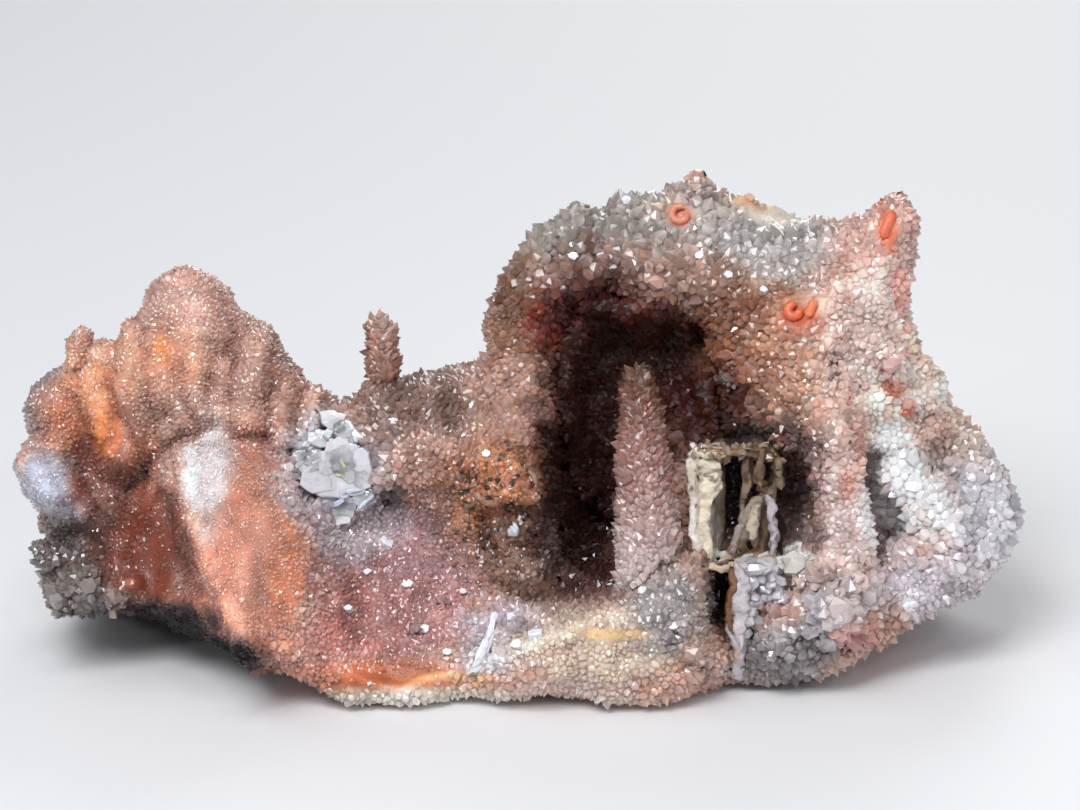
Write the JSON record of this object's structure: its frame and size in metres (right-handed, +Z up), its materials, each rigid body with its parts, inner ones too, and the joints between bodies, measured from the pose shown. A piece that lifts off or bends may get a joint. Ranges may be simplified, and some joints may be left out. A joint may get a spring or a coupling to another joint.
{
  "type": "chalcedony pseudomorph specimen",
  "caption": "Open drusy chalcedony specimen with a hooded cave, stalactites, an orange mound and a hollow cast of a vanished crystal, on a flat base.",
  "frame": {"origin": "centre of the footprint at the flat base", "axes": "+X to the right along the specimen, -Y towards its open, crystal-lined side, +Z up"},
  "size_m": [0.1507, 0.0719, 0.0681],
  "materials": {
    "chalcedony": "drusy, glassy points over waxy orange, pink and grey chalcedony",
    "cave_crystals": "fine glassy points, dark red-brown",
    "drusy_quartz": "fine glassy points, pink to tan",
    "white_quartz": "matte, thin and ragged, cream with dark specks",
    "clear_quartz": "glassy, translucent grey-white"
  },
  "bodies": {
    "root": {"chalcedony_body": "chalcedony", "cave_druse": "cave_crystals", "centre_stalactite": "drusy_quartz", "left_stalactite": "drusy_quartz", "left_finger": "drusy_quartz", "crystal_cast": "white_quartz", "quartz_cluster": "clear_quartz"}
  },
  "joints": []
}
